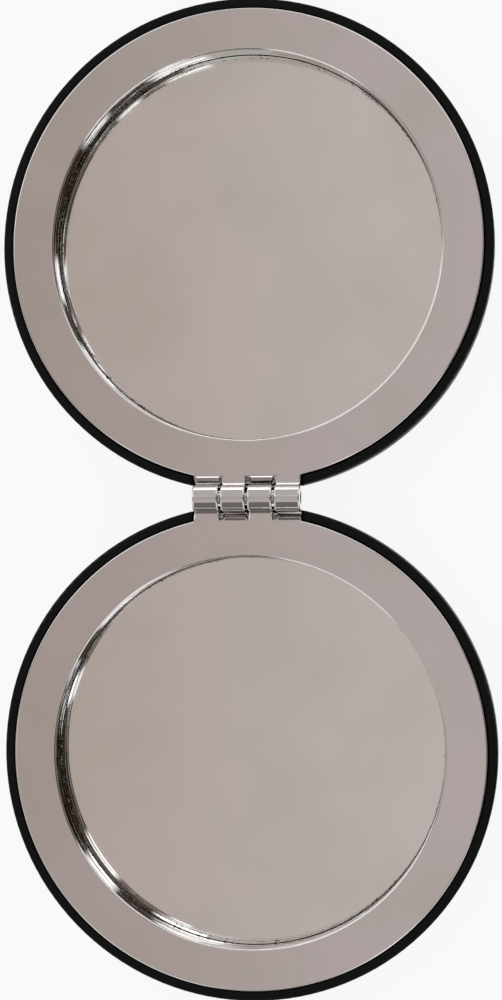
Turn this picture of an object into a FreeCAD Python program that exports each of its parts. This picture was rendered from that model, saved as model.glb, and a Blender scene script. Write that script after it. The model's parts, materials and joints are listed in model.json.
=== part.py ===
"""Folding double compact mirror, lying open and flat.

Two alike round halves, the base and the lid, are joined by a hinge of four knuckles on one steel pin. Each
half is a moulded cover with a bright plated frame snapped into it. The frame's shallow tray holds a round
glass mirror on a disc of adhesive tape, and a small magnet opposite the hinge keeps the compact shut.

Millimetres, +Z up. The origin lies on the table under the middle of the hinge, +X runs along the hinge and
+Y points to the lid. Each half is drawn about the centre of its own disc, with the hinge on its own +Y side.
"""
import FreeCAD
import Part
import Sketcher
import math
import os

# Driving sizes, in millimetres
SIZES = {
    # The case as a whole
    "case_diameter": 62.0,
    "half_height": 7.0,  # from the back of one half to the face of its frame
    "face_gap": 0.3,  # between the two faces when the compact is shut
    "hinge_standoff": 0.8,  # from the edge of the cover to the hinge axis
    # Cover: a shallow moulded dish with a snap bead inside its rim
    "cover_wall": 1.2,
    "cover_floor": 1.2,
    "cover_edge_round": 3.4,
    "inner_round_share": 0.9,  # most of the wall under the bead that its inner round may take
    "rim_drop": 0.3,  # the rim stands this much below the frame's face
    "rim_round": 0.3,
    "bead_height": 0.3,
    "bead_drop": 2.0,  # from the frame's face to the middle of the bead
    "post_diameter": 2.2,
    "notch_clearance": 0.3,  # round the hinge, at its ends and below it
    # Frame: a flat ring with a skirt outside and a tray inside
    "frame_clearance": 0.1,
    "bead_clearance": 0.05,
    "ring_thickness": 1.2,
    "frame_edge_round": 0.4,
    "skirt_wall": 0.9,
    "skirt_depth": 2.8,
    "recess_wall": 0.9,
    "recess_draft": 0.1,  # the tray is this much smaller in radius at its bottom
    "recess_edge_round": 0.3,
    "tray_floor": 0.8,
    "rib_thickness": 0.8,
    "rib_clearance": 0.1,
    "channel_clearance": 0.2,  # between the magnet and the walls beside it
    # Hinge
    "hinge_width": 13.5,
    "knuckle_gap": 0.3,
    "barrel_diameter": 3.4,
    "barrel_round": 0.35,  # round the ends of a knuckle
    "root_round": 0.5,  # where a barrel flows into the face
    "slot_clearance": 1.1,
    "block_standoff_share": 0.8,  # of the barrel's radius, from the axis to the end of the block below it
    "block_wall": 0.7,  # under the deepest part of a slot
    "pin_diameter": 1.5,
    "pin_clearance": 0.05,  # round the pin in the lid's knuckles
    "pin_end_recess": 0.25,
    "pin_chamfer": 0.15,
    # Mirror and its tape
    "mirror_thickness": 1.3,
    "mirror_clearance": 0.05,
    "mirror_bevel": 0.15,
    "tape_thickness": 0.3,
    "tape_margin": 2.2,
    # Closing magnet
    "magnet_diameter": 3.0,
    "magnet_thickness": 2.0,
    "magnet_chamfer": 0.15,
    # How far a cut runs past what it cuts
    "overrun": 1.0,
}

# Sizes and places that follow from the driving ones
FORMULAS = {
    "case_radius": "case_diameter / 2",
    "hinge_offset": "case_radius + hinge_standoff",
    "axis_height": "half_height + face_gap / 2",
    # Cover
    "cover_inner_radius": "case_radius - cover_wall",
    "rim_height": "half_height - rim_drop",
    "bead_middle": "half_height - bead_drop",
    "bead_top": "bead_middle + bead_height",
    "bead_bottom": "bead_middle - bead_height",
    "bead_radius": "cover_inner_radius - bead_height",
    "cover_inner_round": "min(cover_edge_round - cover_wall; inner_round_share * (bead_bottom - cover_floor))",
    # Frame
    "frame_radius": "cover_inner_radius - frame_clearance",
    "groove_depth": "bead_height - frame_clearance + bead_clearance",
    "groove_radius": "frame_radius - groove_depth",
    "groove_top": "bead_middle + groove_depth",
    "groove_bottom": "bead_middle - groove_depth",
    "skirt_radius": "frame_radius - skirt_wall",
    "skirt_bottom": "half_height - skirt_depth",
    "ring_bottom": "half_height - ring_thickness",
    "channel_width": "magnet_diameter + 2 * channel_clearance",
    "recess_outer_radius": "skirt_radius - channel_width",
    "recess_radius": "recess_outer_radius - recess_wall",
    "tray_radius": "recess_radius - recess_draft",
    "tray_top": "cover_floor + tray_floor",
    # Hinge
    "knuckle_pitch": "hinge_width / 4",
    "barrel_radius": "barrel_diameter / 2",
    "slot_radius": "barrel_radius + slot_clearance",
    "tab_bottom": "axis_height - barrel_radius",
    "hinge_left": "-hinge_width / 2",
    "outer_knuckle_length": "knuckle_pitch - knuckle_gap / 2",
    "inner_knuckle_length": "knuckle_pitch - knuckle_gap",
    "inner_knuckle_left": "knuckle_gap / 2",
    "middle_slot_start": "knuckle_pitch - knuckle_gap / 2",
    "middle_slot_end": "2 * knuckle_pitch + knuckle_gap / 2",
    "end_slot_start": "3 * knuckle_pitch - knuckle_gap / 2",
    "end_slot_end": "hinge_width + overrun",
    "notch_left": "hinge_left - notch_clearance",
    "notch_width": "hinge_width + 2 * notch_clearance",
    "notch_start": "case_radius / 2",
    "notch_length": "case_radius / 2 + overrun",
    "block_standoff": "block_standoff_share * barrel_radius",
    "block_start": "skirt_radius - channel_width / 2",
    "block_end": "hinge_offset - block_standoff",
    "block_top": "(ring_bottom + half_height) / 2",
    "block_bottom": "axis_height - sqrt(slot_radius ^ 2 - block_standoff ^ 2) - block_wall",
    "notch_bottom": "block_bottom - notch_clearance",
    "pin_radius": "pin_diameter / 2",
    "pin_length": "hinge_width - 2 * pin_end_recess",
    "pin_left": "-pin_length / 2",
    "pin_waist_end": "pin_length - pin_chamfer",
    "pin_tip_radius": "pin_radius - pin_chamfer",
    "lid_bore_radius": "pin_radius + pin_clearance",
    # Mirror and its tape
    "mirror_radius": "tray_radius - mirror_clearance",
    "mirror_shoulder": "mirror_thickness - mirror_bevel",
    "mirror_face_radius": "mirror_radius - mirror_bevel",
    "mirror_bottom": "tray_top + tape_thickness",
    "tape_radius": "mirror_radius - tape_margin",
    # Closing magnet, its ribs and its post
    "magnet_offset": "recess_outer_radius + channel_width / 2",
    "magnet_radius": "magnet_diameter / 2",
    "magnet_bottom": "ring_bottom - magnet_thickness",
    "magnet_shoulder": "magnet_thickness - magnet_chamfer",
    "magnet_face_radius": "magnet_radius - magnet_chamfer",
    "magnet_place": "-magnet_offset",
    "rib_gap": "magnet_diameter + 2 * rib_clearance",
    "second_rib_start": "rib_thickness + rib_gap",
    "second_rib_end": "rib_thickness + second_rib_start",
    "ribs_left": "-second_rib_end / 2",
    "ribs_front": "-skirt_radius - skirt_wall / 4",
    "ribs_length": "channel_width + skirt_wall / 4 + recess_wall / 2",
    "post_height": "magnet_bottom - cover_floor",
}

doc = FreeCAD.newDocument("CompactMirror")
sheet = doc.addObject("Spreadsheet::Sheet", "Sizes")


def fill_sheet():
    """Write every size to the sheet, first the numbers and then the formulas, each with its alias."""
    cells = {name: str(number) for name, number in SIZES.items()}
    cells.update({name: "=" + formula for name, formula in FORMULAS.items()})
    for row, (name, content) in enumerate(cells.items(), start=1):
        sheet.set(f"A{row}", name)
        sheet.set(f"B{row}", content)
        sheet.setAlias(f"B{row}", name)
    doc.recompute()


def size(name):
    """The value of a named size. Zero stands for itself."""
    return sheet.get(name) if name else 0.0


def new_sketch(body, name, plane, place=(0, 0, 0)):
    """A sketch on one of the body's own origin planes, moved in that plane's axes by named sizes."""
    sketch = body.newObject("Sketcher::SketchObject", f"{body.Name}_{name}")
    support = [feature for feature in body.Origin.OriginFeatures if feature.Role == plane]
    sketch.AttachmentSupport = [(support[0], "")]
    sketch.MapMode = "FlatFace"
    for axis, distance in zip("xyz", place):
        if distance:
            sketch.setExpression(f"AttachmentOffset.Base.{axis}", f"Sizes.{distance}")
    return sketch


def bind(sketch, kind, geometry, name):
    """Add a dimension to part of a sketch and tie it to a named size."""
    index = sketch.addConstraint(Sketcher.Constraint(kind, *geometry, size(name)))
    label = f"{kind}_{index}"
    sketch.renameConstraint(index, label)
    sketch.setExpression(f"Constraints.{label}", f"Sizes.{name}")


def tie(sketch, kind, *geometry):
    """Add a constraint that has no size."""
    sketch.addConstraint(Sketcher.Constraint(kind, *geometry))


def pin_point(sketch, point, x, y):
    """Hold a point at two named distances from the sketch's axes, or on an axis where one is zero."""
    if x:
        bind(sketch, "DistanceX", point, x)
    else:
        tie(sketch, "PointOnObject", *point, -2)
    if y:
        bind(sketch, "DistanceY", point, y)
    else:
        tie(sketch, "PointOnObject", *point, -1)


def add_arc(sketch, centre, start, end):
    """An arc that runs anticlockwise about its centre from start to end."""
    circle = Part.Circle(centre, FreeCAD.Vector(0, 0, 1), centre.distanceToPoint(start))
    angles = [math.atan2((point - centre).y, (point - centre).x) for point in (start, end)]
    return sketch.addGeometry(Part.ArcOfCircle(circle, *angles), False)


def outline(sketch, corners):
    """A closed outline, anticlockwise. Each corner is (x, y), or (x, y, radius) where it is rounded."""
    points = [FreeCAD.Vector(size(corner[0]), size(corner[1]), 0) for corner in corners]
    entries = []
    exits = []
    centres = []
    for index, corner in enumerate(corners):
        point = points[index]
        back = (points[index - 1] - point).normalize()
        ahead = (points[(index + 1) % len(points)] - point).normalize()
        radius = size(corner[2]) if len(corner) > 2 else 0
        half_angle = back.getAngle(ahead) / 2
        entries.append(point + back * (radius / math.tan(half_angle)))
        exits.append(point + ahead * (radius / math.tan(half_angle)))
        middle = back + ahead
        centres.append(point + middle.normalize() * (radius / math.sin(half_angle)) if radius else point)
    first = sketch.GeometryCount
    for index in range(len(corners)):
        sketch.addGeometry(Part.LineSegment(exits[index], entries[(index + 1) % len(corners)]), False)
    for index, corner in enumerate(corners):
        line = first + index
        line_before = first + (index - 1) % len(corners)
        if len(corner) == 2:
            tie(sketch, "Coincident", line_before, 2, line, 1)
            pin_point(sketch, (line, 1), *corner)
            continue
        turn = (points[index] - points[index - 1]).cross(points[(index + 1) % len(points)] - points[index]).z
        ends = (entries[index], exits[index])
        arc = add_arc(sketch, centres[index], *(ends if turn > 0 else ends[::-1]))
        arc_entry, arc_exit = (1, 2) if turn > 0 else (2, 1)
        peak = sketch.addGeometry(Part.Point(points[index]), True)
        tie(sketch, "PointOnObject", peak, 1, line_before)
        tie(sketch, "PointOnObject", peak, 1, line)
        pin_point(sketch, (peak, 1), corner[0], corner[1])
        tie(sketch, "Tangent", line_before, 2, arc, arc_entry)
        tie(sketch, "Tangent", arc, arc_exit, line, 1)
        bind(sketch, "Radius", (arc,), corner[2])


def rectangle(sketch, left, right, bottom, top):
    """A closed rectangle between named distances."""
    outline(sketch, [(left, bottom), (right, bottom), (right, top), (left, top)])


def finish_feature(body, feature):
    """Recompute, and make the feature the body's newest state."""
    body.Tip = feature
    doc.recompute()
    return feature


def revolve(body, sketch, axis, kind="Revolution"):
    """Turn a sketch once round one of its own axes, to add a solid or, as a groove, to cut one away."""
    feature = body.newObject(f"PartDesign::{kind}", f"{sketch.Name}_{kind.lower()}")
    feature.Profile = sketch
    feature.ReferenceAxis = (sketch, [axis])
    feature.Angle = 360
    return finish_feature(body, feature)


def pad(body, sketch, length):
    """Raise a sketch along its normal by a named length."""
    feature = body.newObject("PartDesign::Pad", f"{sketch.Name}_pad")
    feature.Profile = sketch
    feature.setExpression("Length", f"Sizes.{length}")
    return finish_feature(body, feature)


def pocket_up(body, sketch, depth):
    """Cut a sketch's outline out of the body, along the sketch's normal, by a named depth."""
    feature = body.newObject("PartDesign::Pocket", f"{sketch.Name}_pocket")
    feature.Profile = sketch
    feature.Reversed = True
    feature.setExpression("Length", f"Sizes.{depth}")
    return finish_feature(body, feature)


def check_cut(body, feature, volume_before):
    """Stop if a cut took nothing away."""
    if not feature.Shape.Volume < volume_before:
        raise RuntimeError(f"{feature.Name} cuts nothing from {body.Label}")


def new_body(name):
    """An empty body that carries the name of its piece. It may be in separate lumps while it is built."""
    body = doc.addObject("PartDesign::Body", name)
    body.Label = name
    body.AllowCompound = True
    return body


def make_cover(name):
    """The moulded dish: rounded edge, snap bead inside the rim, a notch for the hinge, a post for the magnet."""
    body = new_body(name)
    dish = new_sketch(body, "dish", "XZ_Plane")
    outline(dish, [
        (0, 0),
        ("case_radius", 0, "cover_edge_round"),
        ("case_radius", "rim_height", "rim_round"),
        ("cover_inner_radius", "rim_height", "rim_round"),
        ("cover_inner_radius", "bead_top"),
        ("bead_radius", "bead_middle"),
        ("cover_inner_radius", "bead_bottom"),
        ("cover_inner_radius", "cover_floor", "cover_inner_round"),
        (0, "cover_floor"),
    ])
    solid = revolve(body, dish, "V_Axis")

    notch = new_sketch(body, "notch", "XY_Plane", ("notch_left", "notch_start", "notch_bottom"))
    rectangle(notch, 0, "notch_width", 0, "notch_length")
    volume = solid.Shape.Volume
    check_cut(body, pocket_up(body, notch, "half_height"), volume)

    post = new_sketch(body, "post", "XY_Plane", (0, "magnet_place", "cover_floor"))
    disc = post.addGeometry(Part.Circle(FreeCAD.Vector(), FreeCAD.Vector(0, 0, 1), size("post_diameter") / 2))
    tie(post, "Coincident", disc, 3, -1, 1)
    bind(post, "Diameter", (disc,), "post_diameter")
    pad(body, post, "post_height")
    return body


def draw_knuckle(sketch):
    """The side view of a knuckle: a barrel on a tab, with a hollow round where it flows into the face."""
    barrel = size("barrel_radius")
    hollow = size("root_round")
    axis = FreeCAD.Vector(size("hinge_offset"), size("axis_height"), 0)
    rise = size("half_height") + hollow - axis.y
    hollow_centre = axis + FreeCAD.Vector(-math.sqrt((barrel + hollow) ** 2 - rise ** 2), rise, 0)
    meeting = axis + (hollow_centre - axis).normalize() * barrel
    underside = FreeCAD.Vector(axis.x, axis.y - barrel, 0)
    landing = FreeCAD.Vector(hollow_centre.x, size("half_height"), 0)
    low_corner = FreeCAD.Vector(size("recess_outer_radius"), underside.y, 0)
    high_corner = FreeCAD.Vector(low_corner.x, landing.y, 0)

    bottom = sketch.addGeometry(Part.LineSegment(low_corner, underside), False)
    barrel_arc = add_arc(sketch, axis, underside, meeting)
    hollow_arc = add_arc(sketch, hollow_centre, landing, meeting)
    top = sketch.addGeometry(Part.LineSegment(landing, high_corner), False)
    end = sketch.addGeometry(Part.LineSegment(high_corner, low_corner), False)
    pin_point(sketch, (barrel_arc, 3), "hinge_offset", "axis_height")
    bind(sketch, "Radius", (barrel_arc,), "barrel_radius")
    bind(sketch, "Radius", (hollow_arc,), "root_round")
    tie(sketch, "Horizontal", bottom)
    tie(sketch, "Horizontal", top)
    tie(sketch, "Vertical", end)
    tie(sketch, "Tangent", bottom, 2, barrel_arc, 1)
    tie(sketch, "Tangent", barrel_arc, 2, hollow_arc, 2)
    tie(sketch, "Tangent", hollow_arc, 1, top, 1)
    tie(sketch, "Coincident", top, 2, end, 1)
    tie(sketch, "Coincident", end, 2, bottom, 1)
    pin_point(sketch, (end, 1), "recess_outer_radius", "half_height")


def make_knuckles(body):
    """Two knuckles on their tabs, one at the end of the hinge and one past its middle, with rounded ends."""
    outer_knuckle = new_sketch(body, "outer_knuckle", "YZ_Plane", (0, 0, "hinge_left"))
    draw_knuckle(outer_knuckle)
    pad(body, outer_knuckle, "outer_knuckle_length")
    inner_knuckle = new_sketch(body, "inner_knuckle", "YZ_Plane", (0, 0, "inner_knuckle_left"))
    draw_knuckle(inner_knuckle)
    solid = pad(body, inner_knuckle, "inner_knuckle_length")

    buried = size("recess_outer_radius") + size("barrel_round")
    end_edges = []
    for number, edge in enumerate(solid.Shape.Edges, start=1):
        runs_along_hinge = abs(edge.tangentAt(edge.FirstParameter).x) > 0.5
        if not runs_along_hinge and edge.CenterOfMass.y > buried:
            end_edges.append(f"Edge{number}")
    fillet = body.newObject("PartDesign::Fillet", f"{body.Name}_knuckle_ends")
    fillet.Base = (solid, end_edges)
    fillet.setExpression("Radius", "Sizes.barrel_round")
    return finish_feature(body, fillet)


def make_frame(name, bore_radius):
    """The plated moulding: knuckles and the block below them, ring, skirt and tray in one turn, ribs, slots, bore."""
    body = new_body(name)
    make_knuckles(body)
    block = new_sketch(body, "hinge_block", "YZ_Plane", (0, 0, "hinge_left"))
    rectangle(block, "block_start", "block_end", "block_bottom", "block_top")
    pad(body, block, "hinge_width")

    ring = new_sketch(body, "ring", "XZ_Plane")
    outline(ring, [
        (0, "cover_floor"),
        ("recess_outer_radius", "cover_floor"),
        ("recess_outer_radius", "ring_bottom"),
        ("skirt_radius", "ring_bottom"),
        ("skirt_radius", "skirt_bottom"),
        ("frame_radius", "skirt_bottom"),
        ("frame_radius", "groove_bottom"),
        ("groove_radius", "bead_middle"),
        ("frame_radius", "groove_top"),
        ("frame_radius", "half_height", "frame_edge_round"),
        ("recess_radius", "half_height", "recess_edge_round"),
        ("tray_radius", "tray_top"),
        (0, "tray_top"),
    ])
    revolve(body, ring, "V_Axis")

    ribs = new_sketch(body, "ribs", "XY_Plane", ("ribs_left", "ribs_front", "magnet_bottom"))
    rectangle(ribs, 0, "rib_thickness", 0, "ribs_length")
    rectangle(ribs, "second_rib_start", "second_rib_end", 0, "ribs_length")
    solid = pad(body, ribs, "magnet_thickness")

    slots = new_sketch(body, "slots", "XY_Plane", ("hinge_left", "hinge_offset", "axis_height"))
    rectangle(slots, "middle_slot_start", "middle_slot_end", 0, "slot_radius")
    rectangle(slots, "end_slot_start", "end_slot_end", 0, "slot_radius")
    volume = solid.Shape.Volume
    solid = revolve(body, slots, "H_Axis", "Groove")
    check_cut(body, solid, volume)

    bore = new_sketch(body, "bore", "XY_Plane", ("hinge_left", "hinge_offset", "axis_height"))
    rectangle(bore, 0, "hinge_width", 0, bore_radius)
    volume = solid.Shape.Volume
    check_cut(body, revolve(body, bore, "H_Axis", "Groove"), volume)
    return body


def make_turned_disc(name, height, corners):
    """A round piece turned about its own upright axis and lifted to a named height."""
    body = new_body(name)
    profile = new_sketch(body, "profile", "XZ_Plane", (0, height, 0))
    outline(profile, corners)
    revolve(body, profile, "V_Axis")
    return body


def make_mirror(name):
    """The round glass with its upper edge bevelled."""
    return make_turned_disc(name, "mirror_bottom", [
        (0, 0),
        ("mirror_radius", 0),
        ("mirror_radius", "mirror_shoulder"),
        ("mirror_face_radius", "mirror_thickness"),
        (0, "mirror_thickness"),
    ])


def make_tape(name):
    """The disc of adhesive tape between the tray and the glass."""
    return make_turned_disc(name, "tray_top", [
        (0, 0),
        ("tape_radius", 0),
        ("tape_radius", "tape_thickness"),
        (0, "tape_thickness"),
    ])


def make_magnet(name):
    """The closing magnet, a small chamfered disc under the ring, opposite the hinge."""
    body = new_body(name)
    profile = new_sketch(body, "profile", "XZ_Plane", (0, "magnet_bottom", "magnet_offset"))
    outline(profile, [
        (0, 0),
        ("magnet_face_radius", 0),
        ("magnet_radius", "magnet_chamfer"),
        ("magnet_radius", "magnet_shoulder"),
        ("magnet_face_radius", "magnet_thickness"),
        (0, "magnet_thickness"),
    ])
    revolve(body, profile, "V_Axis")
    return body


def make_hinge_pin(name):
    """The steel pin along the hinge axis, chamfered at both ends."""
    body = new_body(name)
    profile = new_sketch(body, "profile", "XY_Plane", ("pin_left", 0, "axis_height"))
    outline(profile, [
        (0, 0),
        ("pin_length", 0),
        ("pin_length", "pin_tip_radius"),
        ("pin_waist_end", "pin_radius"),
        ("pin_chamfer", "pin_radius"),
        (0, "pin_tip_radius"),
    ])
    revolve(body, profile, "H_Axis")
    return body


def make_half(half, bore_radius):
    """All pieces of one half, drawn about the centre of its disc."""
    return [
        make_cover(f"{half}_cover"),
        make_frame(f"{half}_frame", bore_radius),
        make_tape(f"{half}_mirror_tape"),
        make_mirror(f"{half}_mirror"),
        make_magnet(f"{half}_magnet"),
    ]


def check_model(pieces):
    """Stop if any object failed, or if a piece isn't one whole and valid solid."""
    for item in doc.Objects:
        if "Invalid" in item.State or "Error" in item.State:
            raise RuntimeError(f"{item.Name} failed: {item.State}")
    for piece in pieces:
        if piece.Shape.isNull() or not piece.Shape.isValid() or len(piece.Shape.Solids) != 1:
            raise RuntimeError(f"{piece.Label} isn't one valid solid")


fill_sheet()
base = make_half("base", "pin_radius")
lid = make_half("lid", "lid_bore_radius")
hinge_pin = make_hinge_pin("hinge_pin")
for base_piece in base:
    base_piece.setExpression("Placement.Base.y", "-Sizes.hinge_offset")
for lid_piece in lid:
    lid_piece.Placement = FreeCAD.Placement(FreeCAD.Vector(), FreeCAD.Rotation(FreeCAD.Vector(0, 0, 1), 180))
    lid_piece.setExpression("Placement.Base.y", "Sizes.hinge_offset")
doc.recompute()

pieces = base + lid + [hinge_pin]
check_model(pieces)
os.makedirs("parts", exist_ok=True)
for piece in pieces:
    piece.Shape.exportStep(f"parts/{piece.Label}.step")
    print(f"{piece.Label}: {piece.Shape.Volume:.2f} mm3")
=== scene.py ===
# %% [markdown]
# A folding double compact mirror lies open on a pale table. Two black moulded covers carry two bright plated
# frames, each with a round mirror at the bottom of a shallow tray, and a knuckle hinge on a steel pin joins them.
# The construction comes packed and fixed, in metres. This lesson dresses it: plating, glass, plastic, light, camera.

# %% Load the construction
import json
import math

import bmesh
import bpy
import numpy as np
from mathutils import Matrix, Vector


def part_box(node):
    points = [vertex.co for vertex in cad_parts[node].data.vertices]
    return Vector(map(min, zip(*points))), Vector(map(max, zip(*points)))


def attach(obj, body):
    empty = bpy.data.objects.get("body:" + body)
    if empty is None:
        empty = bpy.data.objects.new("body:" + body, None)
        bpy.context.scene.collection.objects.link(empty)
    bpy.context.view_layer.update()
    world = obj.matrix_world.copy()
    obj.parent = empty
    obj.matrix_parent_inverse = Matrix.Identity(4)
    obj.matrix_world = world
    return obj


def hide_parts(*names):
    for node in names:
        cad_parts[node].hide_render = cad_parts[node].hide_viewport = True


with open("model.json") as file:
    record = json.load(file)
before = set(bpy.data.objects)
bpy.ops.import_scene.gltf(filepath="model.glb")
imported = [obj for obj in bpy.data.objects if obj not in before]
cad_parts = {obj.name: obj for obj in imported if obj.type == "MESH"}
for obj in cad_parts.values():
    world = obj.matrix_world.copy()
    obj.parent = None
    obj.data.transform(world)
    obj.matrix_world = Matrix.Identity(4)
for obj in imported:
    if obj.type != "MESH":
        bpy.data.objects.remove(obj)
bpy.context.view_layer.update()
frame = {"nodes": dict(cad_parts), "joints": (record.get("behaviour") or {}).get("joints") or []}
MM = 0.001
print("pieces of the construction:", sorted(frame["nodes"]))

# %% [markdown]
# Every later step needs a few places: the hinge line, the middle of each round half, and the height of the bright
# faces. They could be typed in again, but reading them from the construction keeps the dressing on the object
# when a size changes. From here on, shapes are worked out in millimetres and turned to metres at the end.

# %% Measure the construction
FACE_GAP = 0.3  # between the two faces when the compact is shut


def box_mm(node):
    """Lowest and highest corner of a construction piece, in millimetres."""
    low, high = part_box(node)
    return np.array(low) / MM, np.array(high) / MM


mirror_low, mirror_high = box_mm("base_mirror")
frame_low, frame_high = box_mm("base_frame")
pin_low, pin_high = box_mm("hinge_pin")
axis_height = frame["joints"][0]["pos_m"][2] / MM
face_height = axis_height - FACE_GAP / 2
half_offset = -(mirror_low[1] + mirror_high[1]) / 2
mirror_radius = (mirror_high[0] - mirror_low[0]) / 2
frame_radius = (frame_high[0] - frame_low[0]) / 2
pin_radius = (pin_high[2] - pin_low[2]) / 2
print("mirror radius", mirror_radius.round(2), "frame radius", frame_radius.round(2),
      "face height", round(face_height, 2), "half offset", half_offset.round(2), "mm")

# %% [markdown]
# The photograph looks almost straight down, from a little to the right, so the left walls of the trays show and the
# right ones hide. A camera that stands to the right and turns to the middle of the object gives that without any
# lens shift, and other views stay centred. A slight roll matches how the object lies in the picture.

# %% Camera
PHOTO_HEIGHT = 1000
PHOTO_WIDTH = 502
FACE_PIXELS_PER_MM = 8.0
MIDDLE_PIXEL = (247.0, 498.0)  # where the middle of the hinge shows
CAMERA_FOOT = (38.0, -5.0)
CAMERA_HEIGHT = 300.0
CAMERA_ROLL = math.radians(-0.31)
SENSOR_LONG_SIDE = 36
NEAREST_SEEN = 1.0


def aim(place, target, roll):
    """The camera's turn: its back axis points from target to place, and +Y is up in the picture before the roll."""
    back = (place - target).normalized()
    right = Vector((0, 1, 0)).cross(back).normalized()
    turn = Matrix((right, back.cross(right), back)).transposed()
    return (turn @ Matrix.Rotation(roll, 3, "Z")).to_euler()


camera_place = Vector((*CAMERA_FOOT, face_height + CAMERA_HEIGHT)) * MM
off_middle = Vector((PHOTO_WIDTH / 2 - MIDDLE_PIXEL[0], MIDDLE_PIXEL[1] - PHOTO_HEIGHT / 2)) / FACE_PIXELS_PER_MM
target = Vector((*off_middle, face_height)) * MM
distance = (camera_place - target).length
camera_data = bpy.data.cameras.new("photo_camera")
camera_data.sensor_width = SENSOR_LONG_SIDE
camera_data.lens = SENSOR_LONG_SIDE * distance / (PHOTO_HEIGHT / FACE_PIXELS_PER_MM * MM)
camera_data.clip_start = NEAREST_SEEN * MM
camera = bpy.data.objects.new("photo_camera", camera_data)
camera.location = camera_place
camera.rotation_euler = aim(camera_place, target, CAMERA_ROLL)
bpy.context.scene.collection.objects.link(camera)
bpy.context.scene.camera = camera
print("lens", round(camera_data.lens, 1), "mm at", round(distance / MM, 1), "mm")

# %% [markdown]
# Finishes are built from shader nodes. Blender's node calls are wordy, so one small function adds a node, sets its
# own properties and fills its inputs, and another turns an sRGB hex colour into the linear numbers that shaders use.
# Sockets go by name where they can. A Mix node has several sockets of one name, so its colour sockets go by number.

# %% Helpers for finishes
MIX_SHARE, MIX_FIRST, MIX_SECOND, MIX_RESULT = 0, 6, 7, 2


def linear(hex_colour):
    """sRGB hex to linear RGBA: divide by 12.92 near black, else ((c + 0.055) / 1.055) to the power 2.4."""
    channels = np.array([int(hex_colour[i:i + 2], 16) for i in (1, 3, 5)]) / 255
    low = channels / 12.92
    high = ((channels + 0.055) / 1.055) ** 2.4
    return (*np.where(channels <= 0.04045, low, high).tolist(), 1.0)


def add_node(tree, kind, inputs=None, **settings):
    """Add a node, set its properties, and give each named input a value or link it to another node's socket."""
    node = tree.nodes.new(kind)
    for name, value in settings.items():
        setattr(node, name, value)
    for name, value in (inputs or {}).items():
        if isinstance(value, bpy.types.NodeSocket):
            tree.links.new(value, node.inputs[name])
        else:
            node.inputs[name].default_value = value
    return node


def new_material(name):
    """An empty material with its node tree."""
    material = bpy.data.materials.new(name)
    material.use_nodes = True
    material.node_tree.nodes.clear()
    return material, material.node_tree


def finish_material(material, shader):
    """Send a shader to the surface and say what was made."""
    tree = material.node_tree
    add_node(tree, "ShaderNodeOutputMaterial", {"Surface": shader.outputs[0]})
    print("finish", material.name, "nodes", len(tree.nodes))
    return material


def dress(node_names, material):
    """Give construction pieces their finish."""
    for name in node_names:
        frame["nodes"][name].data.materials.clear()
        frame["nodes"][name].data.materials.append(material)
    print(material.name, "on", ", ".join(node_names))


print("a middle grey, #808080, is", round(linear("#808080")[0], 3), "in linear light")

# %% [markdown]
# New pieces are grids: a surface is worked out as whole arrays of points, and its quads follow from the row and column
# numbers. Modelling by hand could come near, but a near-mirror shows every uneven round, and a formula gives even ones
# that also follow when a size changes.

# %% Helpers for grids


def arc(centre, radius, start, end, steps):
    """Points centre + radius (cos a, sin a), with the angle a in even steps from start to end, in degrees."""
    angles = np.radians(np.linspace(start, end, steps))
    return np.stack([centre[0] + radius * np.cos(angles), centre[1] + radius * np.sin(angles)], axis=-1)


def grid_quads(rows, columns, wrap_rows=False):
    """Corner numbers of the quads of a grid whose columns close on themselves, and whose rows may do so too."""
    row, column = np.meshgrid(np.arange(rows if wrap_rows else rows - 1), np.arange(columns), indexing="ij")
    below, beside = (row + 1) % rows, (column + 1) % columns
    corners = [row * columns + column, row * columns + beside, below * columns + beside, below * columns + column]
    return np.stack(corners, axis=-1).reshape(-1, 4)


def shell(points, wrap_rows=False):
    """A grid of points, rows by columns by 3, with its quads."""
    rows, columns = points.shape[:2]
    return points.reshape(-1, 3), grid_quads(rows, columns, wrap_rows)


def place_half(points, half):
    """From a half's own middle, hinge towards +Y, to the open compact: the lid is the base turned half a turn."""
    if half == "base":
        return points + np.array([0, -half_offset, 0])
    return points * np.array([-1, -1, 1]) + np.array([0, half_offset, 0])


print("a closed band of 3 rows and 8 columns has", len(grid_quads(3, 8)), "quads")

# %% [markdown]
# A stack of shells becomes one piece in metres. Points that fall together at poles and seams are merged, so that each
# shell is closed, and faces are turned outwards. Blender's own mesh editing does this, because it also drops the faces
# that collapse at a pole. Edges sharper than a limit stay crisp, and the rest is shaded smooth.

# %% Helper for pieces
SHARP_EDGE = math.radians(32)
MERGE_DISTANCE = 0.00002


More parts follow.
